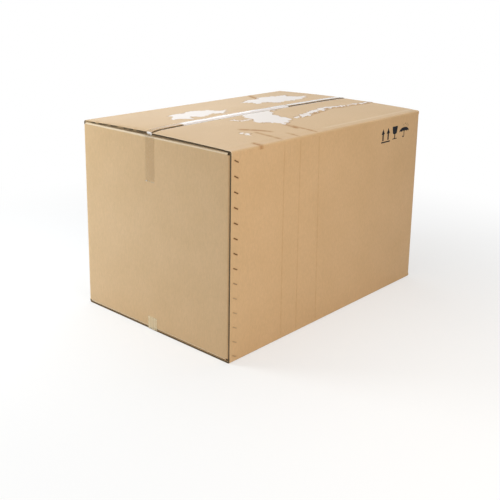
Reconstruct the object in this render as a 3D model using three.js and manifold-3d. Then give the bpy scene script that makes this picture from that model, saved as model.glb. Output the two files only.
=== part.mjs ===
// A closed export shipping carton of double-wall corrugated board: one folded sheet,
// taped along the centre seams of its top and bottom and wire-stitched down one corner.
// Millimetres, +Z up. The origin is on the floor under the middle of the box. +X runs
// along the seam, and the stitched corner is at -X, -Y.

import * as THREE from 'three';
import { mergeVertices } from 'three/addons/utils/BufferGeometryUtils.js';
import Module from 'manifold-3d';

const wasm = await Module();
wasm.setup();

// Outside of the folded box, with the height taken at the folds of the top flaps.
const boxLength = 1186;
const boxWidth = 794;
const foldHeight = 763;

// The board and how it folds.
const boardThickness = 7;
const foldInnerRadius = 1;
const layerGap = 0.5;

// Slots between neighbouring flaps, and the gap that two flaps leave where they meet.
const slotWidth = 6;
const seamGap = 3;

// The joint flap folds in behind the long panel at the stitched corner.
const jointFlapWidth = 45;
const panelEdgeSetback = 1;

// The top flaps spring up from their folds, and the tape holds them down at both ends.
const endRiseNear = 4;
const endRiseFar = 7;
const shoulderRise = 12;
const shoulderLength = 25;
const middleRise = 4;
const farFlapStep = 2;

// Flat steel wire stitches, slanting down away from the corner.
const stitchCount = 14;
const stitchTopMargin = 37;
const stitchBottomMargin = 23;
const stitchInset = 25;
const stitchCrown = 21;
const stitchSlant = 28;
const wireWidth = 2.4;
const wireThickness = 0.7;
const clinchLength = 6;
const wireClearance = 0.3;

// Clear packing tape, with a tail turned over each end of its seam.
const tapeWidth = 50;
const tapeThickness = 0.2;
const tapeClearance = 0.3;
const tapeBendRadius = 1;
const topTapeOffset = 8;
const topTailLength = 180;
const bottomTapeOffset = 6;
const bottomTailLength = 54;

// How finely curved stretches are divided, and how far a shape that is joined or cut runs past
// the face where it meets the board.
const foldSteps = 5;
const stationsAlong = 28;
const stationsAcross = 10;
const tapeStations = 3;
const overrun = 2;

// Sizes that follow from the ones above.
const foldOuterRadius = foldInnerRadius + boardThickness;
const floorClearance = tapeThickness + tapeClearance;
const halfLength = boxLength / 2;
const halfWidth = boxWidth / 2;
const layerPitch = boardThickness + layerGap;
const wallBottom = floorClearance + layerPitch + foldOuterRadius;
const wallTop = foldHeight - layerPitch - foldOuterRadius;
const jointFace = -halfWidth + layerPitch;
const flapFreeEdge = seamGap / 2;

const kraftBoard = new THREE.MeshStandardMaterial({ color: 0xcbb188, roughness: 0.8, metalness: 0 });
const clearFilm = new THREE.MeshStandardMaterial({
  color: 0xd8cdb4, roughness: 0.15, metalness: 0, transparent: true, opacity: 0.4,
});
const steelWire = new THREE.MeshStandardMaterial({ color: 0x6b6560, roughness: 0.4, metalness: 1 });

const carton = new THREE.Group();

function addPiece(name, geometry, material) {
  const piece = new THREE.Mesh(geometry, material);
  piece.name = name;
  carton.add(piece);
  return piece;
}

// Signed volume of an indexed triangle mesh: positive when its faces point outwards.
function signedVolume(points, triangles) {
  let total = 0;
  for (let i = 0; i < triangles.length; i += 3) {
    const [a, b, c] = [points[triangles[i]], points[triangles[i + 1]], points[triangles[i + 2]]];
    total += a.dot(b.clone().cross(c)) / 6;
  }
  return total;
}

// A bent sheet as one closed body. outer and inner are grids of points of the same size,
// one on each face of the sheet, and rims close the four edges between them.
function sheetGeometry(outer, inner) {
  const rows = outer.length;
  const columns = outer[0].length;
  const points = [...outer.flat(), ...inner.flat()];
  const innerStart = rows * columns;
  const triangles = [];
  const quad = (a, b, c, d) => triangles.push(a, b, c, a, c, d);
  const at = (row, column) => row * columns + column;
  for (let row = 0; row < rows - 1; row++) {
    for (let column = 0; column < columns - 1; column++) {
      const [a, b] = [at(row, column), at(row + 1, column)];
      const [c, d] = [at(row + 1, column + 1), at(row, column + 1)];
      quad(a, b, c, d);
      quad(innerStart + a, innerStart + d, innerStart + c, innerStart + b);
    }
  }
  const rim = (a, b) => quad(b, innerStart + b, innerStart + a, a);
  for (let column = 0; column < columns - 1; column++) {
    rim(at(0, column), at(0, column + 1));
    rim(at(rows - 1, column + 1), at(rows - 1, column));
  }
  for (let row = 0; row < rows - 1; row++) {
    rim(at(row + 1, 0), at(row, 0));
    rim(at(row, columns - 1), at(row + 1, columns - 1));
  }
  if (signedVolume(points, triangles) < 0) triangles.reverse();
  const geometry = new THREE.BufferGeometry().setFromPoints(points);
  geometry.setIndex(triangles);
  return geometry;
}

function solidOf(geometry) {
  geometry.deleteAttribute('normal');
  geometry.deleteAttribute('uv');
  const merged = mergeVertices(geometry);
  const mesh = new wasm.Mesh({
    numProp: 3,
    vertProperties: new Float32Array(merged.attributes.position.array),
    triVerts: new Uint32Array(merged.index.array),
  });
  return new wasm.Manifold(mesh);
}

function geometryOf(solid) {
  const mesh = solid.getMesh();
  const geometry = new THREE.BufferGeometry();
  geometry.setAttribute('position', new THREE.BufferAttribute(new Float32Array(mesh.vertProperties), 3));
  geometry.setIndex(new THREE.BufferAttribute(new Uint32Array(mesh.triVerts), 1));
  return geometry;
}

// Evenly spaced values from a to b, both included.
function spread(a, b, steps) {
  return Array.from({ length: steps + 1 }, (_, i) => a + ((b - a) * i) / steps);
}

// Stations along the seam between the slots' ends. They crowd together towards both ends of the
// box, where the top bends most, and the flaps and the tape share them.
const seamStations = spread(-1, 1, stationsAlong).map(
  (share) => (halfLength - slotWidth / 2) * Math.sin((Math.PI / 2) * share),
);

// How far the free edges of the top flaps stand above their folds at a place along the seam.
function seamRise(x) {
  const endRise = x < 0 ? endRiseNear : endRiseFar;
  const fromEnd = Math.max(halfLength - Math.abs(x), 0);
  const shoulder = 1 - Math.exp(-fromEnd / shoulderLength);
  const middle = Math.cos((Math.PI * x) / boxLength);
  return endRise + (shoulderRise - endRise) * shoulder + middleRise * Math.max(middle, 0);
}

// Height of a top flap over its fold plane: none at the fold, and the full rise at its free edge.
function topLift(x, y) {
  const fromFold = THREE.MathUtils.clamp((halfWidth - foldOuterRadius - Math.abs(y)) / halfWidth, 0, 1);
  const step = y > 0 ? farFlapStep : 0;
  return (seamRise(x) + step) * Math.sin((Math.PI / 2) * fromFold);
}

// A wall's last stretch, its fold and the flap beyond, seen along the fold. The wall stands at
// offset wall from the middle, the flap lies level at height flat and ends at offset end.
// Each station holds the outer face's place and the way out from the board there.
function flapProfile(wall, wallStart, flat, end, up) {
  const bendHeight = flat - up * foldOuterRadius;
  const stations = [{ at: wall, z: wallStart - up * overrun, out: [1, 0] }];
  for (const angle of spread(0, Math.PI / 2, foldSteps)) {
    stations.push({
      at: wall - foldOuterRadius * (1 - Math.cos(angle)),
      z: bendHeight + up * foldOuterRadius * Math.sin(angle),
      out: [Math.cos(angle), up * Math.sin(angle)],
    });
  }
  for (const at of spread(wall - foldOuterRadius, end, stationsAcross).slice(1)) {
    stations.push({ at, z: flat, out: [0, up] });
  }
  return stations;
}

// A flap with its fold as a bent sheet. along lists the stations down the fold line, and
// place turns an offset, a station and a height into a point of the box.
function flapGeometry(profile, along, place) {
  const face = (depth) => profile.map(({ at, z, out }) => along.map(
    (station) => place(at - out[0] * depth, station, z - out[1] * depth),
  ));
  return sheetGeometry(face(0), face(boardThickness));
}

// The four panels and the joint flap, as one strip bent round the box and open at the joint.
function panelStrip() {
  const quarter = Math.PI / 2;
  const [left, right] = [-halfLength + foldOuterRadius, halfLength - foldOuterRadius];
  const [front, back] = [-halfWidth + foldOuterRadius, halfWidth - foldOuterRadius];
  const joint = jointFace + foldOuterRadius;
  const jointEnd = -halfLength + jointFlapWidth;
  const strip = new THREE.Shape();
  strip.moveTo(jointEnd, jointFace);
  strip.lineTo(left, jointFace);
  strip.absarc(left, joint, foldOuterRadius, -quarter, -2 * quarter, true);
  strip.absarc(left, back, foldOuterRadius, 2 * quarter, quarter, true);
  strip.absarc(right, back, foldOuterRadius, quarter, 0, true);
  strip.absarc(right, front, foldOuterRadius, 0, -quarter, true);
  strip.lineTo(-halfLength + panelEdgeSetback, -halfWidth);
  strip.lineTo(-halfLength + panelEdgeSetback, -halfWidth + boardThickness);
  strip.absarc(right, front, foldInnerRadius, -quarter, 0, false);
  strip.absarc(right, back, foldInnerRadius, 0, quarter, false);
  strip.absarc(left, back, foldInnerRadius, quarter, 2 * quarter, false);
  strip.absarc(left, joint, foldInnerRadius, -2 * quarter, -quarter, false);
  strip.lineTo(jointEnd, jointFace + boardThickness);
  const options = { depth: wallTop - wallBottom, bevelEnabled: false, curveSegments: foldSteps };
  return new THREE.ExtrudeGeometry(strip, options).translate(0, 0, wallBottom);
}

// Long flaps close over the short ones, and their free edges meet in the centre seam.
function longFlap(side, up) {
  const flat = up > 0 ? foldHeight : floorClearance;
  const profile = flapProfile(halfWidth, up > 0 ? wallTop : wallBottom, flat, flapFreeEdge, up);
  const jointed = side < 0;
  const inner = up > 0 ? seamStations.slice(1) : seamStations.slice(-1);
  const along = [jointed ? -halfLength + panelEdgeSetback : seamStations[0], ...inner];
  const lift = (x, y) => (up > 0 ? topLift(x, y) : 0);
  return flapGeometry(profile, along, (at, x, z) => new THREE.Vector3(x, side * at, z + lift(x, side * at)));
}

// Short flaps lie one board further in, between the walls of the long panels.
function shortFlap(side, up) {
  const flat = up > 0 ? foldHeight - layerPitch : floorClearance + layerPitch;
  const reach = halfLength - (halfWidth - flapFreeEdge);
  const profile = flapProfile(halfLength, up > 0 ? wallTop : wallBottom, flat, reach, up);
  const jointed = side < 0;
  const from = (jointed ? jointFace : -halfWidth) + foldOuterRadius + slotWidth / 2;
  const to = halfWidth - foldOuterRadius - slotWidth / 2;
  return flapGeometry(profile, [from, to], (at, y, z) => new THREE.Vector3(side * at, y, z));
}

// Where the stitches stand, from the top of the joint to its foot.
const stitchHeights = spread(foldHeight - stitchTopMargin, stitchBottomMargin, stitchCount - 1);
const stitchX = -halfLength + stitchInset;
const stitchTurn = THREE.MathUtils.degToRad(stitchSlant);

// Moves a shape made about the stitch's own centre, with its crown along X, to a height on the joint.
function placeStitch(geometry, height) {
  return geometry.rotateY(stitchTurn).translate(stitchX, 0, height);
}

// One wire: a crown against the outer face, two legs through both boards and two clinched ends.
function stitchGeometry(height) {
  const outerHalf = stitchCrown / 2;
  const innerHalf = outerHalf - wireThickness;
  const crownInside = -halfWidth - wireClearance;
  const clinchOutside = jointFace + boardThickness + wireClearance;
  const section = new THREE.Shape();
  section.moveTo(-outerHalf, crownInside - wireThickness);
  section.lineTo(outerHalf, crownInside - wireThickness);
  section.lineTo(outerHalf, clinchOutside + wireThickness);
  section.lineTo(outerHalf - clinchLength, clinchOutside + wireThickness);
  section.lineTo(outerHalf - clinchLength, clinchOutside);
  section.lineTo(innerHalf, clinchOutside);
  section.lineTo(innerHalf, crownInside);
  section.lineTo(-innerHalf, crownInside);
  section.lineTo(-innerHalf, clinchOutside);
  section.lineTo(-outerHalf + clinchLength, clinchOutside);
  section.lineTo(-outerHalf + clinchLength, clinchOutside + wireThickness);
  section.lineTo(-outerHalf, clinchOutside + wireThickness);
  const wire = new THREE.ExtrudeGeometry(section, { depth: wireWidth, bevelEnabled: false });
  return placeStitch(wire.translate(0, 0, -wireWidth / 2), height);
}

// The two slots that a stitch's legs leave through the panel and the joint flap.
function stitchSlots(height) {
  const throughBoards = 2 * boardThickness + layerGap;
  const depth = throughBoards + 2 * overrun;
  return [-1, 1].map((side) => {
    const slot = new THREE.BoxGeometry(
      wireThickness + 2 * wireClearance, depth, wireWidth + 2 * wireClearance,
    );
    slot.translate(side * (stitchCrown - wireThickness) / 2, -halfWidth + throughBoards / 2, 0);
    return placeStitch(slot, height);
  });
}

function cartonGeometry() {
  let sheet = solidOf(panelStrip());
  for (const side of [-1, 1]) {
    for (const up of [-1, 1]) {
      sheet = sheet.add(solidOf(longFlap(side, up)));
      sheet = sheet.add(solidOf(shortFlap(side, up)));
    }
  }
  for (const height of stitchHeights) {
    for (const slot of stitchSlots(height)) sheet = sheet.subtract(solidOf(slot));
  }
  return geometryOf(sheet);
}

// A strip of film round one seam: up one end, along the seam and down the other. surface gives
// the board's height under each place, and up says whether the seam is the top or the bottom one.
// stations lists the places along the seam where the board's height changes.
function tapeGeometry(offset, tailLength, surface, stations, up) {
  const endFace = halfLength + tapeClearance;
  const across = [
    ...spread(-tapeWidth / 2, -flapFreeEdge - offset, tapeStations),
    ...spread(flapFreeEdge - offset, tapeWidth / 2, tapeStations),
  ];
  const along = stations.filter((x) => Math.abs(x) < endFace - tapeBendRadius);
  const turn = spread(0, Math.PI / 2, foldSteps);
  const face = (depth) => across.map((place) => {
    const y = place + offset;
    const height = (x) => surface(x, y) + up * tapeClearance;
    const bend = (side, angle) => {
      const centreX = side * (endFace - tapeBendRadius);
      const radius = tapeBendRadius + depth;
      const centreZ = height(centreX) - up * tapeBendRadius;
      return new THREE.Vector3(
        centreX + side * radius * Math.cos(angle), y, centreZ + up * radius * Math.sin(angle),
      );
    };
    const tail = (side) => new THREE.Vector3(
      side * (endFace + depth), y, (up > 0 ? foldHeight : floorClearance) - up * tailLength,
    );
    return [
      tail(-1),
      ...turn.map((angle) => bend(-1, angle)),
      ...along.map((x) => new THREE.Vector3(x, y, height(x) + up * depth)),
      ...turn.toReversed().map((angle) => bend(1, angle)),
      tail(1),
    ];
  });
  return sheetGeometry(face(tapeThickness), face(0));
}

addPiece('carton', cartonGeometry(), kraftBoard);
const topSurface = (x, y) => foldHeight + topLift(x, y);
const bottomSurface = () => floorClearance;
const topTape = tapeGeometry(topTapeOffset, topTailLength, topSurface, seamStations, 1);
const bottomTape = tapeGeometry(bottomTapeOffset, bottomTailLength, bottomSurface, [], -1);
addPiece('top_tape', topTape, clearFilm);
addPiece('bottom_tape', bottomTape, clearFilm);
stitchHeights.forEach((height, index) => {
  const name = `stitch_${String(index + 1).padStart(2, '0')}`;
  addPiece(name, stitchGeometry(height), steelWire);
});

export default carton;
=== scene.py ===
import bpy
import numpy as np
from mathutils import Matrix


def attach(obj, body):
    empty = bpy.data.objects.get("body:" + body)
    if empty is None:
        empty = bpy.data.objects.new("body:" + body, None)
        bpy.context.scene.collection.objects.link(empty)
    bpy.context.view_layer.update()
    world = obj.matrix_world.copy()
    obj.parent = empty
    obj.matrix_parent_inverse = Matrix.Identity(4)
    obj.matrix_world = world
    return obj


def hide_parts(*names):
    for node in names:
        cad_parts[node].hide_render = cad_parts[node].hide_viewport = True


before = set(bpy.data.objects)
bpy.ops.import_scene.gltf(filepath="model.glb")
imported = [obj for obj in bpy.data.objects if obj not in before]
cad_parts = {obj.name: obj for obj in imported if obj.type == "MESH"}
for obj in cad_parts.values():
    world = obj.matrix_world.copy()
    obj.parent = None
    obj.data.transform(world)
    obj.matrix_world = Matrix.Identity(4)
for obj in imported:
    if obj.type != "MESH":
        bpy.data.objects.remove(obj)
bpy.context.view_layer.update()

# The camera stands left of the stitched corner and looks down on it. Its lens is shifted
# upwards a little, as in product photographs that keep upright edges upright.
camera_place = (-2.47738, -2.16801, 1.33535)
camera_azimuth = np.radians(-48.15)
camera_elevation = np.radians(14.127)
camera_roll = np.radians(0.899)


def camera_axes(azimuth, elevation, roll):
    """Right, up and back of a camera that looks along an azimuth and down by an elevation.

    back is (sin a cos e, -cos a cos e, sin e), right is level, and the roll turns right and
    up about back.
    """
    back = np.array([
        np.sin(azimuth) * np.cos(elevation),
        -np.cos(azimuth) * np.cos(elevation),
        np.sin(elevation),
    ])
    level = np.cross([0, 0, 1], back)
    level /= np.linalg.norm(level)
    upright = np.cross(back, level)
    right = np.cos(roll) * level + np.sin(roll) * upright
    return right, np.cross(back, right), back


lens = bpy.data.cameras.new("product_lens")
lens.lens = 58.294
lens.sensor_width = 36
lens.shift_y = -0.15
camera = bpy.data.objects.new("product_camera", lens)
turn = np.eye(4)
turn[:3, :3] = np.stack(camera_axes(camera_azimuth, camera_elevation, camera_roll), axis=1)
turn[:3, 3] = camera_place
camera.matrix_world = Matrix(turn.tolist())
bpy.context.scene.collection.objects.link(camera)
bpy.context.scene.camera = camera
bpy.context.scene.view_settings.view_transform = "Standard"

# The board is double-wall corrugated fibreboard: three kraft liners with two fluted papers
# glued between them. The four walls and the joint flap are one strip of it, scored and
# folded at the corners, with the flutes upright. Sizes here and below are in millimetres.
box_length = 1186
box_width = 794
fold_height = 763
board = 7
fold_inside = 1
layer_gap = 0.5
slot_width = 6
joint_flap = 45
edge_setback = 1
floor_gap = 0.5
half_length = box_length / 2
half_width = box_width / 2
fold_outside = fold_inside + board
layer_pitch = board + layer_gap
wall_foot = floor_gap + layer_pitch + fold_outside
wall_head = fold_height - layer_pitch - fold_outside
joint_face = -half_width + layer_pitch
flute_pitch = 7.5

# The wire stitches near the wall's free edge leave pressed marks in its paper, darkened with
# painted shade round each wire.
stitch_inset = 25
stitch_foot = 23
stitch_pitch = 703 / 13
stitch_slant = np.radians(28)

# Three upright creases where the stitched long wall was once bent. Each wanders by a few
# millimetres from its foot to its head.
crease_places = (-317, -228, -112)
crease_foot = (2, 3, 8)
crease_head = (-2, -1, -7)
crease_depth = 0.45
crease_width = 2.2


def waves(u, v, length, seed, count=7):
    """Smooth random relief from -1 to 1 over a plane.

    It is the mean of sines that run in random directions with random phases, whose
    wavelengths lie between 0.6 and 1.8 times the given length.
    """
    draw = np.random.default_rng(seed)
    relief = 0
    for _ in range(count):
        heading = draw.uniform(0, np.pi)
        wavelength = length * draw.uniform(0.6, 1.8)
        phase = draw.uniform(0, 2 * np.pi)
        travel = u * np.cos(heading) + v * np.sin(heading)
        relief = relief + np.sin(2 * np.pi * travel / wavelength + phase)
    return relief / count


def smooth(value, start, end):
    """Eases from 0 at start to 1 at end, as 3t^2 - 2t^3."""
    t = np.clip((value - start) / (end - start), 0, 1)
    return t * t * (3 - 2 * t)


def crease_lines(x, strength=1.0):
    """How strongly each place along the long wall lies in a crease: a sum of narrow bells."""
    return strength * sum(np.exp(-(((x - place) / crease_width) ** 2)) for place in crease_places)


def crease_wander(x, z):
    """Sideways shift of the creases with height, which fades out away from each of them."""
    share = (z - wall_foot) / (wall_head - wall_foot)
    shift = 0
    for place, foot, head in zip(crease_places, crease_foot, crease_head):
        bell = np.exp(-(((x - place) / 30) ** 2))
        shift = shift + (foot + (head - foot) * share ** 1.4) * bell
    return shift


def near_wall_inset(x, z):
    """How far the stitched long wall lies behind its flat plane.

    Slow waves of up to 1.6 mm, which die out towards the folds, and the creases' grooves.
    """
    calm = smooth(half_length - np.abs(x), 10, 160) * smooth(np.minimum(z, wall_head - z), 5, 150)
    slow = 0.8 + 0.8 * waves(x, z, length=420, seed=11)
    return slow * calm + crease_depth * crease_lines(x - crease_wander(x, z))


def wall_outline(near_stations):
    """The walls' outer line in plan, from the joint flap round the box to the stitched edge.

    Straight runs and quarter circles follow each other; the result is x, y, the way out and
    the length run so far.
    """
    def run(start, end, step=12):
        count = max(int(np.hypot(*np.subtract(end, start)) / step), 2)
        return np.linspace(start, end, count, endpoint=False)

    def turn_corner(centre, start_angle, radius=fold_outside, steps=8):
        angle = start_angle - np.linspace(0, np.pi / 2, steps, endpoint=False)
        return np.stack([centre[0] + radius * np.cos(angle), centre[1] + radius * np.sin(angle)], 1)

    left, right = -half_length + fold_outside, half_length - fold_outside
    front, back = -half_width + fold_outside, half_width - fold_outside
    joint = joint_face + fold_outside
    near = np.stack([near_stations[::-1], np.full(len(near_stations), -half_width)], 1)
    line = np.concatenate([
        run((-half_length + joint_flap, joint_face), (left, joint_face)),
        turn_corner((left, joint), -np.pi / 2),
        run((-half_length, joint), (-half_length, back)),
        turn_corner((left, back), np.pi),
        run((left, half_width), (right, half_width)),
        turn_corner((right, back), np.pi / 2),
        run((half_length, back), (half_length, front)),
        turn_corner((right, front), 0),
        near,
    ])
    heading = np.gradient(line, axis=0)
    heading /= np.linalg.norm(heading, axis=1, keepdims=True)
    on_near_wall = (np.abs(line[:, 0]) < right) & (line[:, 1] < -half_width + 0.01)
    heading[on_near_wall] = (-1, 0)
    out = np.stack([-heading[:, 1], heading[:, 0]], 1)
    length = np.concatenate([[0], np.cumsum(np.linalg.norm(np.diff(line, axis=0), axis=1))])
    return line, out, length


def closed_sheet(name, outer, inner, materials, marks=None):
    """Makes one closed sheet from two grids of points in millimetres, one for each face.

    Quads join neighbouring grid points, and rims close the four edges between the faces.
    Faces take the first material and rims the second. marks holds named values for the
    outer grid, which the materials read; depth runs from 0 on the outer face to 1 inside.
    """
    rows, columns = outer.shape[:2]
    count = rows * columns
    index = np.arange(count).reshape(rows, columns)
    corners = (index[:-1, :-1], index[1:, :-1], index[1:, 1:], index[:-1, 1:])
    faces = np.stack([corner.ravel() for corner in corners], 1)
    loop = np.concatenate([index[0, :-1], index[:-1, -1], index[-1, :0:-1], index[:0:-1, 0]])
    ahead = np.roll(loop, -1)
    rims = np.stack([loop, ahead, count + ahead, count + loop], 1)
    quads = np.concatenate([faces, count + faces[:, ::-1], rims])
    points = np.concatenate([outer.reshape(-1, 3), inner.reshape(-1, 3)]) * 0.001
    across = points[faces[:, 2]] - points[faces[:, 0]]
    along = points[faces[:, 3]] - points[faces[:, 1]]
    outward = points[faces[:, 0]] - points[count + faces[:, 0]]
    if np.sum(np.cross(across, along) * outward) < 0:
        quads = quads[:, ::-1]
    mesh = bpy.data.meshes.new(name)
    mesh.vertices.add(len(points))
    mesh.vertices.foreach_set("co", points.ravel())
    mesh.loops.add(quads.size)
    mesh.loops.foreach_set("vertex_index", quads.ravel().astype(np.int32))
    mesh.polygons.add(len(quads))
    mesh.polygons.foreach_set("loop_start", np.arange(0, quads.size, 4, dtype=np.int32))
    for material in materials:
        mesh.materials.append(material)
    choice = np.zeros(len(quads), np.int32)
    choice[2 * len(faces):] = len(materials) - 1
    mesh.polygons.foreach_set("material_index", choice)
    mesh.update(calc_edges=True)
    mesh.shade_smooth()
    mesh.set_sharp_from_angle(angle=np.radians(40))
    values = {key: np.tile(np.asarray(value, float).ravel(), 2) for key, value in (marks or {}).items()}
    values["depth"] = np.repeat([0.0, 1.0], count)
    for key, value in values.items():
        mesh.attributes.new(key, "FLOAT", "POINT").data.foreach_set("value", value.astype(np.float32))
    piece = bpy.data.objects.new(name, mesh)
    bpy.context.scene.collection.objects.link(piece)
    return piece


def linear(colour):
    """An sRGB hex colour in linear light: c / 12.92 up to 0.04045, else ((c + 0.055) / 1.055)^2.4."""
    parts = np.array([int(colour[i:i + 2], 16) for i in (1, 3, 5)]) / 255
    light = np.where(parts <= 0.04045, parts / 12.92, ((parts + 0.055) / 1.055) ** 2.4)
    return (*light.tolist(), 1.0)


def add_node(tree, kind, inputs=None, **settings):
    """Adds one shader node: settings are its own options, and inputs gives sockets a value or a link."""
    node = tree.nodes.new("ShaderNode" + kind)
    for option, value in settings.items():
        setattr(node, option, value)
    for socket, value in (inputs or {}).items():
        if isinstance(value, bpy.types.NodeSocket):
            tree.links.new(value, node.inputs[socket])
        else:
            node.inputs[socket].default_value = value
    return node


def new_material(name):
    """An empty node material with its output, ready for a surface."""
    material = bpy.data.materials.new(name)
    material.use_nodes = True
    tree = material.node_tree
    tree.nodes.clear()
    return material, tree, tree.nodes.new("ShaderNodeOutputMaterial")


def stitch_mark_and_shade(tree, place):
    """A dark brown bar round each wire, from 0 to 1: partly paper pressed by the stitching head,
    partly painted shade of the dent that the wire sits in.

    The height above the lowest stitch is wrapped to the nearest stitch, then turned with
    the wire; the mark is a soft bar 24 mm long and 6 mm wide, fainter on the lower stitches.
    """
    def maths(operation, *values):
        return add_node(tree, "Math", dict(enumerate(values)), operation=operation).outputs[0]

    parts = add_node(tree, "SeparateXYZ", {0: place}).outputs
    sideways = maths("ADD", parts[0], (half_length - stitch_inset) / 1000)
    turns = maths("DIVIDE", maths("SUBTRACT", parts[2], stitch_foot / 1000), stitch_pitch / 1000)
    upwards = maths("MULTIPLY", maths("SUBTRACT", turns, maths("ROUND", turns)), stitch_pitch / 1000)
    cosine, sine = np.cos(stitch_slant), np.sin(stitch_slant)
    along = maths("SUBTRACT", maths("MULTIPLY", sideways, cosine), maths("MULTIPLY", upwards, sine))
    across = maths("ADD", maths("MULTIPLY", sideways, sine), maths("MULTIPLY", upwards, cosine))
    length = add_node(
        tree, "MapRange", {"Value": maths("ABSOLUTE", along), 1: 0.010, 2: 0.014, 3: 1.0, 4: 0.0},
    )
    width = add_node(
        tree, "MapRange", {"Value": maths("ABSOLUTE", across), 1: 0.001, 2: 0.005, 3: 1.0, 4: 0.0},
    )
    near = maths("LESS_THAN", parts[1], (board - half_width) / 1000)
    stronger_higher = add_node(tree, "MapRange", {"Value": parts[2], 1: 0.24, 2: 0.42, 3: 0.25, 4: 0.75})
    bar = maths("MULTIPLY", length.outputs[0], width.outputs[0])
    return maths("MULTIPLY", maths("MULTIPLY", bar, near), stronger_higher.outputs[0])


def kraft_colour(tree):
    """Brown kraft paper in Object coordinates, and its relief in metres.

    The paper is cloudy over about 150 mm, flecked with darker and paler fibres, and shows
    the flutes behind it as faint stripes. Flecks are drawn up to 5 mm wide and 14 mm high,
    coarser than real fibres, so that they show.
    """
    place = add_node(tree, "TexCoord").outputs["Object"]
    cloud = add_node(tree, "TexNoise", {"Vector": place, "Scale": 1 / 0.15, "Detail": 3.0})
    base = add_node(
        tree, "Mix",
        {0: cloud.outputs["Fac"], 6: linear("#C5A478"), 7: linear("#CFAE84")},
        data_type="RGBA",
    )
    fibre_place = add_node(tree, "Mapping", {"Vector": place, "Scale": (1, 1, 0.35)})
    fibre = add_node(
        tree, "TexNoise",
        {"Vector": fibre_place.outputs["Vector"], "Scale": 1 / 0.005, "Detail": 4.0, "Roughness": 0.7},
    )
    fleck = add_node(tree, "MapRange", {"Value": fibre.outputs["Fac"], 1: 0.3, 2: 0.7, 3: 0.93, 4: 1.06})
    around = add_node(tree, "Attribute", attribute_name="around").outputs["Fac"]
    turn = add_node(tree, "Math", {0: around, 1: 2 * np.pi / flute_pitch}, operation="MULTIPLY")
    flute = add_node(tree, "Math", {0: turn.outputs[0]}, operation="SINE").outputs[0]
    stripe = add_node(tree, "MapRange", {"Value": flute, 1: -1.0, 2: 1.0, 3: 0.992, 4: 1.005})
    grain = add_node(tree, "Math", {0: fleck.outputs[0], 1: stripe.outputs[0]}, operation="MULTIPLY")
    colour = add_node(
        tree, "VectorMath", {0: base.outputs[2], "Scale": grain.outputs[0]}, operation="SCALE",
    ).outputs[0]
    ribs = add_node(tree, "Math", {0: flute, 1: 0.000015}, operation="MULTIPLY")
    rough = add_node(tree, "Math", {0: fibre.outputs["Fac"], 1: 0.0002}, operation="MULTIPLY")
    relief = add_node(tree, "Math", {0: ribs.outputs[0], 1: rough.outputs[0]}, operation="ADD")
    return place, colour, relief.outputs[0]


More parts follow.
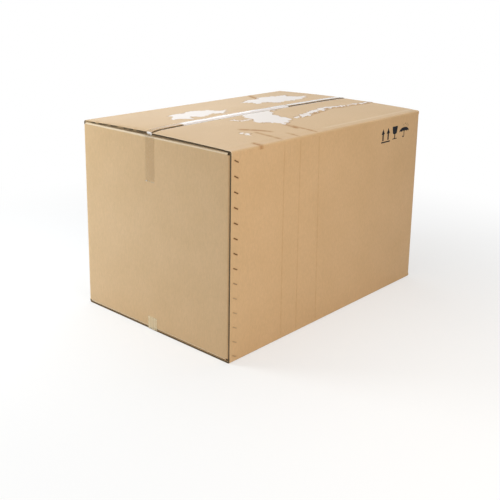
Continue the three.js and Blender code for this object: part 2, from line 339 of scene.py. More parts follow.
def kraft_liner():
    """Kraft liner: unbleached pulp rolled to a dull sheet, which gives a soft brown with no shine.

    A brown line or blot, in the attribute crushed, is browner and rougher, and noise wears it
    away in places; it is partly crushed paper and partly painted shade in creases, dents and
    under the ridge. Pale lines, in the painted highlight attribute, are painted highlights
    where folds, the score line and cut ends catch the light. Pale, slightly smoother patches,
    in the glare attribute, are painted glare, the bright room reflected in the flaps' dents:
    their outline is where the attribute passes 0.5, made ragged by noise 25 mm wide, with a
    brown rim.
    """
    material, tree, output = new_material("kraft_liner")
    place, colour, relief = kraft_colour(tree)
    tear = add_node(
        tree, "TexNoise", {"Vector": place, "Scale": 1 / 0.025, "Detail": 4.0, "Roughness": 0.6},
    )
    # Brown marks: partly crushed paper, partly painted shade in creases, dents and under the ridge.
    crushed = add_node(tree, "Attribute", attribute_name="crushed").outputs["Fac"]
    worn = add_node(tree, "MapRange", {"Value": tear.outputs["Fac"], 1: 0.38, 2: 0.58, 3: 0.45})
    crush_and_shade = add_node(tree, "Math", {0: crushed, 1: worn.outputs[0]}, operation="MULTIPLY")
    brown = add_node(
        tree, "Math", {0: crush_and_shade.outputs[0], 1: stitch_mark_and_shade(tree, place)}, operation="MAXIMUM",
    )
    browned = add_node(
        tree, "Mix", {0: brown.outputs[0], 6: colour, 7: linear("#9A6428")}, data_type="RGBA",
    )
    # Painted glare: pale patches where the flaps' dents reflect the bright room, outlined at 0.5 of the
    # mask.
    film_and_glare = add_node(tree, "Attribute", attribute_name="film_and_glare").outputs["Fac"]
    shift = add_node(tree, "MapRange", {"Value": tear.outputs["Fac"], 3: -0.9, 4: 0.9})
    within = add_node(tree, "Math", {0: film_and_glare, 1: 4.0}, operation="MULTIPLY", use_clamp=True)
    torn = add_node(
        tree, "Math", {0: shift.outputs[0], 1: within.outputs[0], 2: film_and_glare}, operation="MULTIPLY_ADD",
    )
    glare_patch = add_node(
        tree, "MapRange", {"Value": torn.outputs[0], 1: 0.47, 2: 0.53}, interpolation_type="SMOOTHSTEP",
    )
    rim_noise = add_node(tree, "TexNoise", {"Vector": place, "Scale": 1 / 0.05, "Detail": 1.0})
    patchy = add_node(tree, "MapRange", {"Value": rim_noise.outputs["Fac"], 1: 0.35, 2: 0.55, 4: 0.95})
    near_rim = add_node(tree, "MapRange", {"Value": torn.outputs[0], 1: 0.22, 2: 0.44})
    rim = add_node(tree, "Math", {0: near_rim.outputs[0], 1: patchy.outputs[0]}, operation="MULTIPLY")
    rimmed = add_node(
        tree, "Mix", {0: rim.outputs[0], 6: browned.outputs[2], 7: linear("#A0774A")}, data_type="RGBA",
    )
    # Painted highlight: pale lines where folds, the score line and the flaps' cut ends catch the light.
    painted_highlight = add_node(tree, "Attribute", attribute_name="painted_highlight").outputs["Fac"]
    highlighted = add_node(
        tree, "Mix", {0: painted_highlight, 6: rimmed.outputs[2], 7: linear("#F0E2C8")}, data_type="RGBA",
    )
    whitening = add_node(
        tree, "Mix", {0: glare_patch.outputs[0], 6: highlighted.outputs[2], 7: linear("#E6DCD4")}, data_type="RGBA",
    )
    dull = add_node(tree, "MapRange", {"Value": glare_patch.outputs[0], 3: 0.5, 4: 0.42})
    rougher = add_node(
        tree, "Math", {0: brown.outputs[0], 1: 0.35, 2: dull.outputs[0]}, operation="MULTIPLY_ADD",
    )
    bump = add_node(tree, "Bump", {"Height": relief, "Strength": 0.6, "Distance": 1.0})
    surface = add_node(tree, "BsdfPrincipled", {
        "Base Color": whitening.outputs[2],
        "Roughness": rougher.outputs[0],
        "Normal": bump.outputs[0],
        "IOR": 1.5,
    })
    tree.links.new(surface.outputs[0], output.inputs["Surface"])
    return material


def cut_edge():
    """Cut corrugated board: three thin liners and fluted paper between, with painted shade in the hollows.

    The attribute depth runs through the board. The fluted papers swing between the liners
    as sines of the attribute around, and the outside liner is frayed to about 0.8 mm. Each
    layer's place, swing and half width are shares of the board's thickness. A crushed
    stretch shows brown paper over the hollows.
    """
    material, tree, output = new_material("cut_corrugated_edge")
    depth = add_node(tree, "Attribute", attribute_name="depth").outputs["Fac"]
    around = add_node(tree, "Attribute", attribute_name="around").outputs["Fac"]
    turn = add_node(tree, "Math", {0: around, 1: 2 * np.pi / flute_pitch}, operation="MULTIPLY")
    swing = add_node(tree, "Math", {0: turn.outputs[0]}, operation="SINE").outputs[0]
    layers = []
    for centre, reach, half in (
        (0.0, 0.0, 0.12), (0.31, 0.16, 0.0), (0.55, 0.0, 0.0), (0.77, 0.13, 0.0), (1.0, 0.0, 0.06),
    ):
        line = add_node(tree, "Math", {0: swing, 1: reach, 2: centre}, operation="MULTIPLY_ADD")
        away = add_node(tree, "Math", {0: depth, 1: line.outputs[0]}, operation="SUBTRACT")
        off = add_node(tree, "Math", {0: away.outputs[0]}, operation="ABSOLUTE")
        layer = add_node(
            tree, "MapRange", {"Value": off.outputs[0], 1: half, 2: half + 0.03, 3: 1.0, 4: 0.0},
        )
        layers.append(layer.outputs[0])
    paper = layers[0]
    for layer in layers[1:]:
        paper = add_node(tree, "Math", {0: paper, 1: layer}, operation="MAXIMUM").outputs[0]
    crushed = add_node(tree, "Attribute", attribute_name="crushed").outputs["Fac"]
    shown = add_node(tree, "Math", {0: paper, 1: crushed}, operation="MAXIMUM")
    # The near-black between the paper layers is painted shade inside the open flutes.
    colour = add_node(
        tree, "Mix", {0: shown.outputs[0], 6: linear("#1C1610"), 7: linear("#BC9E74")}, data_type="RGBA",
    )
    surface = add_node(tree, "BsdfPrincipled", {"Base Color": colour.outputs[2], "Roughness": 0.9})
    tree.links.new(surface.outputs[0], output.inputs["Surface"])
    return material


def board_piece(name, outer, inner, marks):
    """A piece of the folded board, which stands for the carton's solid."""
    piece = closed_sheet(name, outer, inner, (liner, edge), marks)
    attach(piece, "root")
    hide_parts("carton")
    return piece


def wall_strip():
    """The walls as a grid: the outline in plan times heights from the foot to the head.

    Each wall but the stitched one leans in by slow waves of up to 1.6 mm, and the inner
    face lies one board's thickness behind the outer one.
    """
    close = np.array([-14, -9, -6, -4, -2.5, -1.2, 0, 1.2, 2.5, 4, 6, 9, 14])
    stations = np.concatenate([
        np.linspace(-half_length + edge_setback, half_length - fold_outside, 100),
        *[place + close for place in crease_places],
    ])
    line, out, length = wall_outline(np.unique(stations))
    heights = np.linspace(wall_foot, wall_head, 62)
    x, z = np.meshgrid(line[:, 0], heights, indexing="ij")
    y = np.broadcast_to(line[:, 1:], x.shape)
    near = (np.abs(y + half_width) < 0.01) & (x < half_length - fold_outside + 0.1)
    side = np.where(np.abs(out[:, :1]) > 0.5, y, x)
    reach = np.where(np.abs(out[:, :1]) > 0.5, half_width - np.abs(y), half_length - np.abs(x))
    calm = smooth(reach, 12, 150) * smooth(np.minimum(z, wall_head - z), 5, 150)
    inset = calm * (0.8 + 0.8 * waves(side, z, length=380, seed=5))
    x = x + np.where(near, crease_wander(x, z), 0)
    inset = np.where(near, near_wall_inset(x, z), inset)
    way = out[:, None, :]
    outer = np.stack([x - inset * way[..., 0], y - inset * way[..., 1], z], -1)
    inner = outer - board * np.concatenate([way, 0 * way[..., :1]], -1)
    # The near wall's creases are browned a little, as painted shade in their grooves.
    lines = np.where(near, crease_lines(line[:, :1] + 0 * z), 0)
    marks = {"around": length[:, None] + 0 * z, "crushed": 0.3 * lines, "painted_highlight": 0 * z, "film_and_glare": 0 * z}
    return board_piece("wall_panels", outer, inner, marks)


liner = kraft_liner()
edge = cut_edge()
wall_strip()

# The eight flaps carry on from the walls over scored folds. The short pair at each end is
# folded first, and the long pair closes over it and meets in the centre seam. The top long
# flaps spring up towards the seam, the far one a little more, and the tape holds them down.
seam_gap = 3
end_rise_near = 4
end_rise_far = 7
shoulder_rise = 12
shoulder_length = 25
middle_rise = 4
far_flap_step = 2
free_edge = seam_gap / 2


def top_lift(x, y):
    """Height of a top flap over its fold plane, nothing at the fold and full at its free edge.

    Along the seam it rises from each end over a rounded shoulder to a long, low crown.
    """
    end_rise = np.where(x < 0, end_rise_near, end_rise_far)
    from_end = np.maximum(half_length - np.abs(x), 0)
    shoulder = 1 - np.exp(-from_end / shoulder_length)
    crown = middle_rise * np.maximum(np.cos(np.pi * x / box_length), 0)
    rise = end_rise + (shoulder_rise - end_rise) * shoulder + crown
    step = np.where(y > 0, far_flap_step, 0)
    from_fold = np.clip((half_width - fold_outside - np.abs(y)) / half_width, 0, 1)
    return (rise + step) * np.sin(np.pi / 2 * from_fold)


# The score line beside the near fold, and the nick in that fold, which was knocked in.
score_line_y = -362
nick_x = -445
nick_y = -392

# The long ridge that a bend has left in the near flap, from the middle to the far end.
ridge_height = 3.2
ridge_x = (-15, 30, 80, 150, 206, 261, 309, 348, 412, 519, 593)
ridge_y = (-190, -182, -181, -166, -157, -138, -136, -147, -146, -155, -150)


def ridge_shape(x, y):
    """Bell across the ridge, steep on the near side and gentle beyond, growing from its start."""
    away = y - np.interp(x, ridge_x, ridge_y)
    bell = np.exp(-((away / np.where(away < 0, 7, 34)) ** 2))
    return bell * smooth(x, -25, 110) * (1 - 0.4 * smooth(x, 330, 590))


# How far past the fold each of the long wall's creases runs on into the near flap.
flap_crease_reach = (155, 75, 165)


def flap_crease(x, y):
    """The long wall's creases in the near flap: bells that widen to 8 mm past the fold."""
    lines = 0
    for place, head, reach in zip(crease_places, crease_head, flap_crease_reach):
        past_fold = half_width + y
        width = crease_width + 6 * smooth(past_fold, 0, 40)
        bell = np.exp(-(((x - place - head) / width) ** 2))
        lines = lines + bell * (1 - smooth(past_fold, 0.8 * reach, reach))
    return np.where(y < 0, lines, 0)


def top_detail(x, y):
    """Small relief on top of the crown, in millimetres.

    It adds a slow sag, the ridge, a crushed strip along each free edge, a nick in the near
    fold, the step where the near fold's scored strip ends, and the far flap's bruised end.
    """
    calm = smooth(half_width - np.abs(y), 15, 90) * smooth(half_length - np.abs(x), 0, 60)
    sag = -0.5 * (1 + waves(x, y, length=230, seed=21)) * calm
    ridge = np.where(y < 0, ridge_height * ridge_shape(x, y), 0)
    crushed = np.where(y < 0, -2.2, -0.3) * np.exp(-((np.abs(y) - free_edge) / 5))
    nick = -2.0 * np.exp(-(((x - nick_x) / 6) ** 2) - ((np.minimum(y, 0) - nick_y) / 14) ** 2)
    step = np.where(y < 0, -0.8 * smooth(score_line_y - y, -4, 4), 0)
    dents = 1 + waves(y, x, length=45, seed=8)
    bruise = 1.6 * dents * np.exp(-(half_length + x) / 7) * smooth(y, 20, 60)
    return sag + ridge + crushed + nick + step - bruise


def side_distance(x, y, start, end):
    """Distance from each place to the nearest point of a straight piece.

    That point is the place's projection on the line, held between the piece's two ends.
    """
    (ax, ay), (bx, by) = start, end
    along = ((x - ax) * (bx - ax) + (y - ay) * (by - ay)) / ((bx - ax) ** 2 + (by - ay) ** 2)
    along = np.clip(along, 0, 1)
    return np.hypot(x - ax - along * (bx - ax), y - ay - along * (by - ay))


def outline_distance(x, y, outline):
    """Distance from each place to a closed outline, positive inside it.

    It is the least distance to the outline's straight sides; crossings of a ray along +X
    tell inside from outside.
    """
    corners = np.array(outline, float)
    nearest = np.full(np.shape(x), 1e9)
    inside = np.zeros(np.shape(x), bool)
    for (ax, ay), (bx, by) in zip(corners, np.roll(corners, -1, axis=0)):
        nearest = np.minimum(nearest, side_distance(x, y, (ax, ay), (bx, by)))
        crosses = ((ay > y) != (by > y)) & (x < (bx - ax) * (y - ay) / (by - ay + 1e-9) + ax)
        inside ^= crosses
    return np.where(inside, nearest, -nearest)


def path_distance(x, y, path):
    """Least distance from each place to an open path of straight pieces."""
    nearest = np.full(np.shape(x), 1e9)
    for start, end in zip(path[:-1], path[1:]):
        nearest = np.minimum(nearest, side_distance(x, y, start, end))
    return nearest


# Painted glare: outlines in plan of pale patches on the top flaps, where dents reflect the bright room.
glare_far_left = (
    (-335, 185), (-312, 196), (-284, 194), (-262, 178), (-225, 208), (-195, 214), (-150, 176),
    (-122, 168), (-131, 138), (-112, 120), (-88, 116), (-140, 64), (-180, 88), (-214, 76),
    (-252, 68), (-282, 82), (-300, 108), (-328, 60), (-352, 84), (-386, 106), (-384, 124),
    (-350, 146),
)
glare_far_right = (
    (122, 222), (205, 256), (266, 252), (312, 282), (365, 276), (410, 252), (462, 249),
    (430, 210), (450, 168), (488, 146), (400, 94), (349, 95), (284, 98), (220, 90), (206, 136),
    (182, 148), (136, 136), (150, 182), (138, 200),
)
glare_near = (
    (-128, -10), (-155, -54), (-162, -104), (-192, -144), (-172, -172), (-149, -176),
    (-138, -206), (-126, -234), (-70, -212), (-38, -190), (-22, -164), (-28, -128), (-20, -94),
    (2, -58), (24, -32), (96, -12),
)
streak_half_width = 7
glare_streaks = (
    ((-232, -64), (-211, -95), (-159, -98)),
    ((-374, -238), (-356, -250), (-372, -280)),
)
# Paths of painted shade in dents and creases of the top flaps, drawn brown.
painted_shade_paths = (
    ((-331, -197), (-293, -234), (-264, -281)),
    ((nick_x - 1, -366), (nick_x + 1, -394)),
    ((352, 382), (277, 262)),
    ((-126, -234), (-134, -300)),
)


def top_marks(x, y):
    """Painted glare, brown marks and painted highlights on the top flaps, as values for the liner.

    The glare mask is 0.5 on an outline and rises or falls by 0.5 over 20 mm, and a strip of it
    11 to 28 mm wide follows the ridge. crushed is a bell up to 10 mm wide about each path of
    painted shade, each crease and the foot of the ridge, where it stands for shade, and lies in
    blots on the far flap's bruised end. The painted highlight mask shows the score line and the
    cut ends over the short wall.
    """
    inside = np.maximum(outline_distance(x, y, glare_far_left), outline_distance(x, y, glare_far_right))
    inside = np.maximum(inside, outline_distance(x, y, glare_near))
    for streak in glare_streaks:
        inside = np.maximum(inside, streak_half_width - path_distance(x, y, streak))
    # A strip of painted glare follows the ridge, with painted shade at its near foot.
    on_ridge = y - np.interp(x, ridge_x, ridge_y)
    reach = 7 + 17 * smooth(x, 10, 90) * (1 - smooth(x, 250, 345))
    strip = np.minimum(on_ridge + 4, reach - on_ridge)
    strip = np.where((x > 0) & (x < 600), strip, -99)
    inside = np.maximum(inside, strip)
    # Brown marks: painted shade along the flap's creases, the paths and the ridge's near foot, and blots at
    # the far flap's bruised end.
    crushed = 0.75 * flap_crease(x, y) * smooth(half_width + y, 3, 14)
    for path in painted_shade_paths:
        crushed = np.maximum(crushed, 0.85 * np.exp(-((path_distance(x, y, path) / 10) ** 2)))
    foot = np.exp(-(((on_ridge + 11) / 6) ** 2)) * smooth(x, 0, 60) * (y < 0)
    crushed = np.maximum(crushed, 0.45 * foot)
    blots = smooth(waves(y, x, length=36, seed=9), -0.1, 0.3)
    bruised = blots * np.exp(-(half_length + x) / 6) * smooth(y, 20, 60)
    crushed = np.maximum(crushed, 0.8 * bruised)
    # Painted highlights: a pale line along the score line and at the flaps' cut ends.
    score_highlight = np.exp(-(((y - score_line_y) / 5) ** 2)) * smooth(x, -90, 0)
    end_highlight = np.exp(-((half_length - edge_setback + x) / 3) ** 2)
    painted_highlight = np.maximum(0.26 * np.where(y < 0, score_highlight, 0), 0.45 * end_highlight)
    return {
        "around": x + 0 * y,
        "crushed": crushed,
        "painted_highlight": painted_highlight,
        "film_and_glare": np.clip(0.5 + inside / 40, 0, 1),
    }


def fold_profile(wall, flat, end, up, step):
    """A fold and its flap, seen along the fold: offsets, heights and the way out of the board.

    The wall runs on from the panel's end; a quarter circle of the fold's outer radius leads
    from it to the level flap, which then runs straight to its free edge.
    """
    angle = np.linspace(0, np.pi / 2, 11)
    bend = flat - up * fold_outside
    wall_end = wall_head if up > 0 else wall_foot
    upright = np.arange(0, abs(bend - wall_end) - 0.1, 2.5) * up + wall_end
    level = np.arange(wall - fold_outside, end, -step)[1:]
    level = np.append(level[level > end + step / 2], end)
    at = np.concatenate([np.full(len(upright), wall), wall - fold_outside * (1 - np.cos(angle)), level])
    z = np.concatenate([upright, bend + up * fold_outside * np.sin(angle), np.full(len(level), flat)])
    out_at = np.concatenate([np.ones(len(upright)), np.cos(angle), np.zeros(len(level))])
    out_z = up * np.concatenate([np.zeros(len(upright)), np.sin(angle), np.ones(len(level))])
    return at, z, out_at, out_z


def long_flap(name, side, up):
    """A long flap as a grid of its fold profile times stations along the seam.

    A top flap adds the crown, its small relief and the marks; a bottom flap is flat.
    """
    flat = fold_height if up > 0 else floor_gap
    at, z, out_at, out_z = fold_profile(half_width, flat, free_edge, up, step=5 if up > 0 else 30)
    start = -half_length + (edge_setback if side < 0 else slot_width / 2)
    stations = np.linspace(start, half_length - slot_width / 2, 290 if up > 0 else 60)
    x, offset = np.meshgrid(stations, at, indexing="ij")
    y = side * offset
    height = z + 0 * x
    groove = 0 * x
    marks = {"around": x, "crushed": 0 * x, "painted_highlight": 0 * x, "film_and_glare": 0 * x}
    if up > 0:
        over_fold = smooth(z, fold_height - fold_outside, fold_height)
        height = height + top_lift(x, y) + top_detail(x, y) * over_fold
        groove = 0.6 * crease_depth * flap_crease(x, y)
        marks = top_marks(x, y)
    way = np.stack([0 * x, side * out_at + 0 * x, out_z + 0 * x], -1)
    outer = np.stack([x, y, height], -1) - groove[..., None] * way
    return board_piece(name, outer, outer - board * way, marks)


def short_flap(name, side, up):
    """A short flap as a flat grid of its fold profile times stations across the box."""
    flat = fold_height - layer_pitch if up > 0 else floor_gap + layer_pitch
    reach = half_length - (half_width - free_edge)
    at, z, out_at, out_z = fold_profile(half_length, flat, reach, up, step=30)
    start = (joint_face if side < 0 else -half_width) + fold_outside + slot_width / 2
    stations = np.linspace(start, half_width - fold_outside - slot_width / 2, 60)
    y, offset = np.meshgrid(stations, at, indexing="ij")
    outer = np.stack([side * offset, y, z + 0 * y], -1)
    way = np.stack([side * out_at + 0 * y, 0 * y, out_z + 0 * y], -1)
    over_wall = (z - wall_head if up > 0 else wall_foot - z) + 0 * y
    # The fold above the short wall is painted pale, a painted highlight where it catches the light.
    marks = {"around": y, "crushed": 0 * y, "painted_highlight": 0.6 * smooth(over_wall, 0.5, 3), "film_and_glare": 0 * y}
    return board_piece(name, outer, outer - board * way, marks)


for level, up in (("top", 1), ("bottom", -1)):
    long_flap(f"near_{level}_flap", -1, up)
    long_flap(f"far_{level}_flap", 1, up)
    short_flap(f"left_{level}_flap", -1, up)
    short_flap(f"right_{level}_flap", 1, up)

# Clear polypropylene packing tape, 50 mm wide, closes both seams, and its tails are turned
# over the ends of the box. It was pressed down by hand, and its ends are torn on a toothed
# blade. The white along the top tape is painted glare, the bright room reflected in the film.
tape_width = 50
film_thickness = 0.1
tape_gap = 0.15
tape_bend = 1
tail_end_gap = 0.35
top_tape_offset = 8
top_tail = 180
bottom_tape_offset = 6
bottom_tail = 54
tooth_pitch = 4
tooth_depth = 2.2

# The top tape's band of painted glare fades in and out again between these places along the seam.
glare_start = (-450, -415)
glare_end = (150, 215)


def packing_tape_film():
    """Clear BOPP tape: a stretched, smooth film over tacky glue, glossy and almost colourless.

    It deepens the paper's colour where it has wetted it, and is white where its whitening mask
    passes 0.5, with noise about 8 mm wide, and faintly white by the attribute haze. The white
    is painted glare on the top tape and a whitening of the film at its torn ends.
    Its shine grows with the fifth power of the flatness of view.
    """
    material, tree, output = new_material("clear_packing_tape")
    place = add_node(tree, "TexCoord").outputs["Object"]
    whitening = add_node(tree, "Attribute", attribute_name="whitening").outputs["Fac"]
    edge_noise = add_node(tree, "TexNoise", {"Vector": place, "Scale": 1 / 0.008, "Detail": 3.0})
    shift = add_node(tree, "MapRange", {"Value": edge_noise.outputs["Fac"], 3: -0.3, 4: 0.3})
    ragged = add_node(tree, "Math", {0: whitening, 1: shift.outputs[0]}, operation="ADD")
    # White where the mask passes 0.5: painted glare on the top tape, and whitening at its torn ends.
    white = add_node(tree, "MapRange", {"Value": ragged.outputs[0], 1: 0.4, 2: 0.6})
    haze = add_node(tree, "Attribute", attribute_name="haze").outputs["Fac"]
    pale = add_node(tree, "Math", {0: white.outputs[0], 1: haze}, operation="MAXIMUM")
    whole = add_node(tree, "Math", {0: pale.outputs[0], 1: 4.0}, operation="MULTIPLY", use_clamp=True)
    white_tint = add_node(
        tree, "Mix", {0: white.outputs[0], 6: linear("#F4E2BC"), 7: linear("#EAE2DE")}, data_type="RGBA",
    )
    colour = add_node(
        tree, "Mix", {0: whole.outputs[0], 6: linear("#B08C5C"), 7: white_tint.outputs[2]}, data_type="RGBA",
    )
    facing = add_node(tree, "LayerWeight", {"Blend": 0.5}).outputs["Facing"]
    shine = add_node(tree, "Math", {0: facing, 1: 5.0}, operation="POWER")
    clear = add_node(tree, "MapRange", {"Value": shine.outputs[0], 3: 0.035, 4: 0.8})
    cover = add_node(tree, "Math", {0: pale.outputs[0], 1: 0.94}, operation="MULTIPLY")
    alpha = add_node(tree, "Math", {0: clear.outputs[0], 1: cover.outputs[0]}, operation="MAXIMUM")
    surface = add_node(tree, "BsdfPrincipled", {
        "Base Color": colour.outputs[2],
        "Roughness": 0.14,
        "IOR": 1.49,
        "Alpha": alpha.outputs[0],
    })
    tree.links.new(surface.outputs[0], output.inputs["Surface"])
    return material


def taped_height(x, y):
    """Height of the top flaps under the tape, drawn straight across the gap of the seam."""
    def flap_height(edge_y):
        return fold_height + top_lift(x, edge_y) + top_detail(x, edge_y)

    share = np.clip((y + free_edge) / seam_gap, 0, 1)
    near = flap_height(np.minimum(y, -free_edge))
    far = flap_height(np.maximum(y, free_edge))
    return near * (1 - share) + far * share


def tape(name, node, offset, tail, up, whitening_for):
    """A strip of film as a grid: a path round the box times places across the tape.

    The path climbs one tail, turns a small quarter circle, runs along the seam at the
    board's height and comes down the other tail. Each tail's end is cut in teeth.
    """
    plane = half_length + tail_end_gap
    across = np.linspace(-tape_width / 2, tape_width / 2, 26) + offset
    angle = np.linspace(0, np.pi / 2, 6)
    flat = np.linspace(-plane + tape_bend, plane - tape_bend, 260 if up > 0 else 60)[1:-1]
    down = np.linspace(1, 0, 14)[:-1]
    teeth = tooth_depth * np.abs((across / tooth_pitch) % 1 - 0.5) * 2
    edge_height = fold_height if up > 0 else floor_gap

    def board_height(x):
        if up < 0:
            return np.full((len(x), len(across)), float(floor_gap))
        return taped_height(x[:, None] + 0 * across, across + 0 * x[:, None])

    def side_path(side):
        top = board_height(np.array([side * (plane - tape_bend)]))[0] + up * tape_gap
        turn_x = side * (plane - tape_bend + tape_bend * np.cos(angle))
        turn_z = top - up * tape_bend * (1 - np.sin(angle)[:, None])
        end = edge_height - up * (tail - teeth)
        tail_z = end + (turn_z[:1] - end) * (1 - down[:, None])
        x = np.concatenate([np.full(len(down), side * plane), turn_x])
        return x, np.concatenate([tail_z, turn_z])

    left_x, left_z = side_path(-1)
    right_x, right_z = side_path(1)
    ripple = 0.05 * (1 + waves(flat[:, None], across, length=60, seed=31))
    middle_z = board_height(flat) + up * (tape_gap + ripple)
    x = np.concatenate([left_x, flat, right_x[::-1]])[:, None] + 0 * across
    z = np.concatenate([left_z, middle_z, right_z[::-1]])
    y = across + 0 * x
    points = np.stack([x, y, z], -1)
    heading = np.gradient(np.stack([x[:, 0], z.mean(1)], -1), axis=0)
    heading /= np.linalg.norm(heading, axis=1, keepdims=True)
    way = np.stack([-up * heading[:, 1], 0 * heading[:, 0], up * heading[:, 0]], -1)
    whitening, haze = whitening_for(x, y, z)
    piece = closed_sheet(
        name, points + film_thickness * way[:, None, :], points, (film_and_glare,), {"whitening": whitening, "haze": haze},
    )
    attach(piece, "root")
    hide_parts(node)
    return piece


def top_tape_glare_and_torn_ends(x, y, z):
    """Painted glare on the top: a white band of uneven width to past the middle, then two edges.

    A painted highlight lies where the film bends over the fold at each end of the box, and the
    film is whitened at its torn ends.
    """
    on_top = z > fold_height - 2
    across = np.abs(y - top_tape_offset)
    reach = 19 + 7 * waves(x, 0 * x, length=110, seed=41)
    band = smooth(x, *glare_start) * (1 - smooth(x, *glare_end))
    band = band * (1 - smooth(across, reach - 3, reach + 3))
    edges = smooth(np.abs(y), 4, 9) * (1 - smooth(across, 19, 24)) * smooth(x, *glare_end)
    # Painted highlight where the tape bends over the fold.
    fold = smooth(np.abs(x), 588, 591.5) * (1 - smooth(across, 8, 20)) * 0.9
    torn = 0.5 * (1 - smooth(np.abs(z - (fold_height - top_tail)), 2, 5))
    return np.where(on_top, np.maximum(np.maximum(band, 0.8 * edges), fold), torn), 0 * x


def bottom_tape_haze(x, y, z):
    """The bottom tape's short tails are hazy, with upright milky stripes 14 mm apart."""
    stripes = 0.5 + 0.5 * np.sin(2 * np.pi * (y - bottom_tape_offset) / 14)
    return 0 * x, np.where(z > 3, 0.38 + 0.12 * stripes, 0.05)


film_and_glare = packing_tape_film()
tape("clear_top_tape", "top_tape", top_tape_offset, top_tail, 1, top_tape_glare_and_torn_ends)
tape("clear_bottom_tape", "bottom_tape", bottom_tape_offset, bottom_tail, -1, bottom_tape_haze)

# Fourteen stitches of flat steel wire hold the long wall to the joint flap. Each is driven
# through both boards and clinched inside, so that only its slanting crown shows.


def stitching_wire():
    """Drawn low-carbon steel wire with a thin coat: grey metal, dulled by the stitching head.

    The wire is dark brown at the upper stitches and paler at the lower ones.
    """
    material, tree, output = new_material("drawn_steel_wire")
    place = add_node(tree, "TexCoord").outputs["Object"]
    height = add_node(tree, "SeparateXYZ", {0: place}).outputs[2]
    paler_below = add_node(tree, "MapRange", {"Value": height, 1: 0.36, 2: 0.26})
    colour = add_node(
        tree, "Mix", {0: paler_below.outputs[0], 6: linear("#3C2F25"), 7: linear("#A8967A")}, data_type="RGBA",
    )
    scratch = add_node(tree, "TexNoise", {"Vector": place, "Scale": 1 / 0.0015})
    dull = add_node(tree, "MapRange", {"Value": scratch.outputs["Fac"], 3: 0.35, 4: 0.6})
    surface = add_node(tree, "BsdfPrincipled", {
        "Base Color": colour.outputs[2],
        "Metallic": 1.0,
        "Roughness": dull.outputs[0],
    })
    tree.links.new(surface.outputs[0], output.inputs["Surface"])
    return material


wire = stitching_wire()
for node_name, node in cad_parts.items():
    if node_name.startswith("stitch"):
        node.material_slots[0].material = wire

# Handling marks, printed in one dark ink near the far upper corner of the stitched wall:
# two arrows on a bar for this way up, a goblet for fragile, and an umbrella for keep dry.
ink_film = 0.15
mark_rows = 9


def printing_ink():
    """Water-based flexographic ink: a matt blue-black, thin enough for the board's grain to show."""
    material, tree, output = new_material("flexographic_ink")
    place = add_node(tree, "TexCoord").outputs["Object"]
    blot = add_node(tree, "TexNoise", {"Vector": place, "Scale": 1 / 0.004, "Detail": 2.0})
    colour = add_node(
        tree, "Mix", {0: blot.outputs["Fac"], 6: linear("#0E1118"), 7: linear("#1C2028")}, data_type="RGBA",
    )
    surface = add_node(tree, "BsdfPrincipled", {
        "Base Color": colour.outputs[2],
        "Roughness": 0.75,
        "IOR": 1.3,
    })
    tree.links.new(surface.outputs[0], output.inputs["Surface"])
    return material


def ink_layer(name, x, z):
    """A layer of ink over a grid of places on the stitched wall, ink_film in front of it."""
    y = -half_width + near_wall_inset(x, z)
    outer = np.stack([x, y - ink_film, z], -1)
    piece = closed_sheet(name, outer, outer + (0, 2 * ink_film, 0), (ink,))
    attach(piece, "root")
    return piece


def printed_shape(name, left, right, z):
    """A printed shape as a grid: rows at heights z, each running from left to right."""
    share = np.linspace(0, 1, mark_rows)
    x = np.asarray(left)[:, None] * (1 - share) + np.asarray(right)[:, None] * share
    return ink_layer(name, x, np.asarray(z, float)[:, None] + 0 * x)


def arrow(name, centre, foot, head, tip):
    """An upright arrow: a 9.6 mm shaft under a head that narrows evenly to its tip."""
    z = np.array([foot, head, head + 0.01, tip])
    half = np.array([4.8, 4.8, 12, 0.3])
    return printed_shape(name, centre - half, centre + half, z)


def goblet(name, centre, foot, rim):
    """A goblet seen from the side: a flat foot, a thin stem and a bowl that widens as a fifth root."""
    height = rim - foot
    share = np.linspace(0, 1, 40)
    bowl = np.clip((share - 0.4) / 0.6, 0, 1) ** 0.2
    half = np.where(share < 0.07, 17, np.where(share < 0.4, 3, 3 + 17 * bowl))
    return printed_shape(name, centre - half, centre + half, foot + height * share)


def umbrella_canopy(name, centre, rim, top, half):
    """An umbrella's canopy: an elliptical dome over a rim of four hanging scallops."""
    u = np.linspace(-1, 1, 61)
    share = np.linspace(0, 1, 7)[:, None]
    dome = rim + (top - rim) * np.sqrt(1 - u * u)
    scallop = rim - 1 + 4.5 * np.abs(np.sin(2 * np.pi * u)) * np.sqrt(np.clip(1 - u * u, 0, 1))
    lower = np.minimum(scallop, dome - 0.2)
    x = centre + half * u + 0 * share
    return ink_layer(name, x, lower * (1 - share) + dome * share)


def umbrella_stick(name, centre, top, foot, hook):
    """The stick and its hooked handle: a 4.8 mm band along a straight line and a half circle."""
    angle = np.linspace(0, np.pi, 13)[1:]
    path_x = np.concatenate([np.full(8, centre), centre - hook + hook * np.cos(angle)])
    path_z = np.concatenate([np.linspace(top, foot, 8), foot - hook * np.sin(angle)])
    side_x = np.concatenate([np.ones(8), np.cos(angle)])
    side_z = np.concatenate([np.zeros(8), -np.sin(angle)])
    share = np.linspace(-2.4, 2.4, 3)
    x = path_x[:, None] + side_x[:, None] * share
    return ink_layer(name, x, path_z[:, None] + side_z[:, None] * share)


def rain_drop(name, x, z, lean):
    """A falling drop: a short slanting streak, thickest a third of the way up."""
    share = np.linspace(0, 1, 7)
    half = 1.3 * np.sin(np.pi * share ** 0.7) + 0.1
    centre = x + lean * share
    return printed_shape(name, centre - half, centre + half, z + 8 * share)


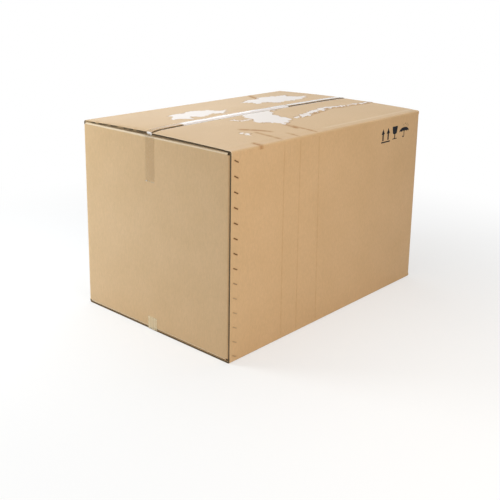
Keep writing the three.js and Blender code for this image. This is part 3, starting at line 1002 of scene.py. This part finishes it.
ink = printing_ink()
for number, centre in enumerate((315, 353)):
    arrow(f"mark_arrow_{number + 1}", centre, foot=667, head=694, tip=716)
printed_shape("mark_arrow_bar", [303, 303], [368, 368], [657.5, 663])
goblet("mark_goblet", 404, foot=663, rim=717)
umbrella_canopy("mark_umbrella_canopy", 476, rim=687, top=705, half=37)
umbrella_stick("mark_umbrella_stick", 476, top=690, foot=669, hook=5)
for number, (x, z) in enumerate(((470, 712), (482, 716), (494, 712), (504, 706))):
    rain_drop(f"mark_drop_{number + 1}", x, z, lean=4)

# The floor is a plain pale disc that keeps the carton's shadow. Far from the carton it
# brightens for the camera into the white of the background.


def pale_floor():
    """Matt white studio floor, brightened for the camera alone.

    The share of plain white grows smoothly from 0.55 near the carton to 1 beyond 2.2 m.
    """
    material, tree, output = new_material("matt_white_floor")
    place = add_node(tree, "TexCoord").outputs["Object"]
    away = add_node(tree, "VectorMath", {0: place}, operation="LENGTH").outputs["Value"]
    far = add_node(
        tree, "MapRange", {"Value": away, 1: 0.75, 2: 2.2, 3: 0.55}, interpolation_type="SMOOTHSTEP",
    ).outputs[0]
    seen = add_node(tree, "LightPath").outputs["Is Camera Ray"]
    share = add_node(tree, "Math", {0: far, 1: seen}, operation="MULTIPLY")
    paint = add_node(tree, "BsdfPrincipled", {"Base Color": linear("#F4F3F1"), "Roughness": 0.8})
    glow = add_node(tree, "Emission", {"Color": (1, 1, 1, 1), "Strength": 1.0})
    surface = add_node(tree, "MixShader", {0: share.outputs[0], 1: paint.outputs[0], 2: glow.outputs[0]})
    tree.links.new(surface.outputs[0], output.inputs["Surface"])
    return material


def floor_disc(radius, rings, spokes):
    """A flat disc: rings of points whose radius grows as the square of their share."""
    ring = (np.linspace(0.02, 1, rings) ** 2 * radius)[:, None]
    angle = np.linspace(0, 2 * np.pi, spokes, endpoint=False)
    points = np.stack([ring * np.cos(angle), ring * np.sin(angle), 0 * ring * angle], -1).reshape(-1, 3)
    start = np.arange(spokes)
    ahead = np.roll(start, -1)
    faces = [start.tolist()]
    for row in range(rings - 1):
        low, high = row * spokes, (row + 1) * spokes
        faces += np.stack([low + start, high + start, high + ahead, low + ahead], 1).tolist()
    mesh = bpy.data.meshes.new("floor")
    mesh.from_pydata(points.tolist(), [], faces)
    mesh.materials.append(pale_floor())
    floor = bpy.data.objects.new("floor", mesh)
    bpy.context.scene.collection.objects.link(floor)
    return floor


floor_disc(radius=14, rings=12, spokes=64)

# Plain studio light: a wide softbox overhead, one towards each visible wall, and a white
# room that the gloss reflects. The low softbox by the short wall is left out of the gloss,
# as a polarised one is, so that it gives no glare on the top.


def softbox(name, place, target, size, power, colour="#FFFFFF"):
    """A rectangular soft light that faces a point."""
    lamp = bpy.data.lights.new(name, "AREA")
    lamp.shape = "RECTANGLE"
    lamp.size, lamp.size_y = size
    lamp.energy = power
    lamp.color = linear(colour)[:3]
    light = bpy.data.objects.new(name, lamp)
    back = np.subtract(place, target)
    back = back / np.linalg.norm(back)
    right = np.cross([0, 0, 1], back)
    right /= np.linalg.norm(right)
    turn = np.eye(4)
    turn[:3, :3] = np.stack([right, np.cross(back, right), back], 1)
    turn[:3, 3] = place
    light.matrix_world = Matrix(turn.tolist())
    bpy.context.scene.collection.objects.link(light)
    return light


softbox("overhead_softbox", (0, 0.3, 3.2), (0, 0, 0.7), size=(3.0, 2.4), power=49, colour="#F2F9FF")
low_light = softbox(
    "short_wall_softbox", (-1.7, 1.9, 1.2), (-0.6, 0.2, 0.4), size=(1.2, 1.2), power=49, colour="#EEF8FF",
)
low_light.visible_glossy = False
softbox(
    "long_wall_softbox", (-0.9, -2.8, 1.5), (-0.3, -0.4, 0.4), size=(1.3, 1.3), power=40.5, colour="#FFF0DE",
)
softbox("back_card", (1.9, 3.5, 1.6), (0, 0, 0.7), size=(2.8, 1.6), power=9)

world = bpy.data.worlds.new("white_studio")
bpy.context.scene.world = world
world.use_nodes = True
sky = world.node_tree
sky.nodes.clear()
rays = add_node(sky, "LightPath")
mirror = add_node(
    sky, "Math",
    {0: rays.outputs["Is Glossy Ray"], 1: rays.outputs["Is Transmission Ray"]},
    operation="MAXIMUM",
)
bright = add_node(
    sky, "Math", {0: rays.outputs["Is Camera Ray"], 1: mirror.outputs[0]}, operation="MAXIMUM",
)
strength = add_node(sky, "MapRange", {"Value": bright.outputs[0], 3: 0.24, 4: 1.0})
backdrop = add_node(sky, "Background", {"Color": (1, 1, 1, 1), "Strength": strength.outputs[0]})
sky.links.new(backdrop.outputs[0], sky.nodes.new("ShaderNodeOutputWorld").inputs["Surface"])
